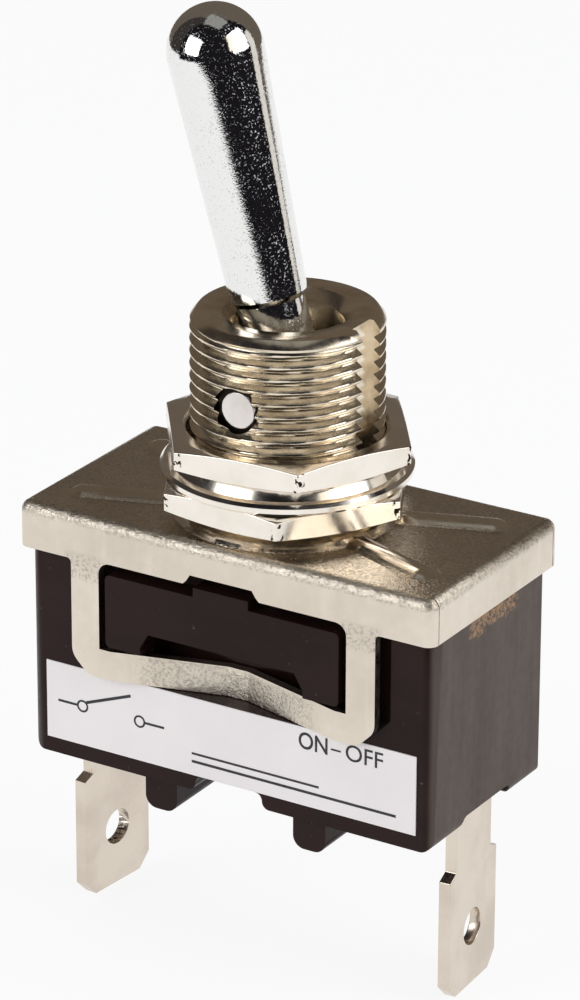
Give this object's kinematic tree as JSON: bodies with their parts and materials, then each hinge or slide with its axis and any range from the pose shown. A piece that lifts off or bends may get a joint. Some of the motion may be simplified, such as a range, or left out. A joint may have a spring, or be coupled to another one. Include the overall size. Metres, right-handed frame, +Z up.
{
  "type": "panel toggle switch",
  "caption": "Panel toggle switch with a chromed bat lever, threaded bushing, nuts, lock washer, moulded case, cover frame and blade terminals.",
  "frame": {"origin": "the lever's pivot, on the bushing's axis, 8.3 mm above the cover frame's top face", "axes": "+Z up out of the panel along the bushing's axis, +X along the case towards the switched terminal, -Y towards the label"},
  "size_m": [0.0294, 0.0154, 0.06],
  "materials": {
    "phenolic": "satin moulded phenolic, dark brown",
    "nickel_sheet": "satin nickel plate on pressed steel",
    "nickel": "polished nickel plate",
    "chrome": "mirror chrome plate",
    "nylon": "natural",
    "spring_steel": "drawn wire",
    "fibre": "pressed fibre sheet",
    "tinned_brass": "bright tin plate on brass",
    "silver": "silver contact alloy",
    "brass": "plain rolled brass",
    "label_film": "satin printed film"
  },
  "bodies": {
    "case": {"housing": "phenolic", "cover_frame": "nickel_sheet", "bushing": "nickel", "pivot_pin": "nickel", "insulator_plate": "fibre", "common_terminal": "tinned_brass", "switched_terminal": "tinned_brass", "fixed_contact": "silver", "contact_saddle": "brass", "saddle_rivet": "brass", "label": "label_film"},
    "lever": {"lever": "chrome"},
    "plunger": {"plunger": "nylon", "plunger_spring": "spring_steel"},
    "rocker": {"contact_arm": "brass", "moving_contact": "silver", "rocker_cam": "phenolic"},
    "lower_nut": {"lower_nut": "nickel", "lock_washer": "nickel"},
    "upper_nut": {"upper_nut": "nickel"}
  },
  "joints": [
    {"name": "lever_pivot", "type": "hinge", "parent": "case", "child": "lever", "pos_m": [0, 0, 0], "axis": [0, 1, 0], "range_deg": [0, 28.6]},
    {"name": "rocker_tilt", "type": "hinge", "parent": "case", "child": "rocker", "pos_m": [0, 0, -0.0199], "axis": [0, 1, 0], "range_deg": [-14, 0]},
    {"name": "plunger_slide", "type": "slide", "parent": "lever", "child": "plunger", "axis": [-0.247, 0, 0.969], "range_m": [0, 0.0006], "stiffness_N_per_m": 400, "springref_m": -0.002, "deforming": ["plunger_spring"]},
    {"name": "lower_nut_slide", "type": "slide", "parent": "case", "child": "lower_nut", "axis": [0, 0, 1], "range_m": [-0.0006, 0.002]},
    {"name": "upper_nut_slide", "type": "slide", "parent": "lower_nut", "child": "upper_nut", "axis": [0, 0, 1], "range_m": [0, 0.0045]}
  ],
  "couplings": [
    {"joint": "rocker_tilt", "follows": "lever_pivot", "ratio": -0.4895}
  ]
}
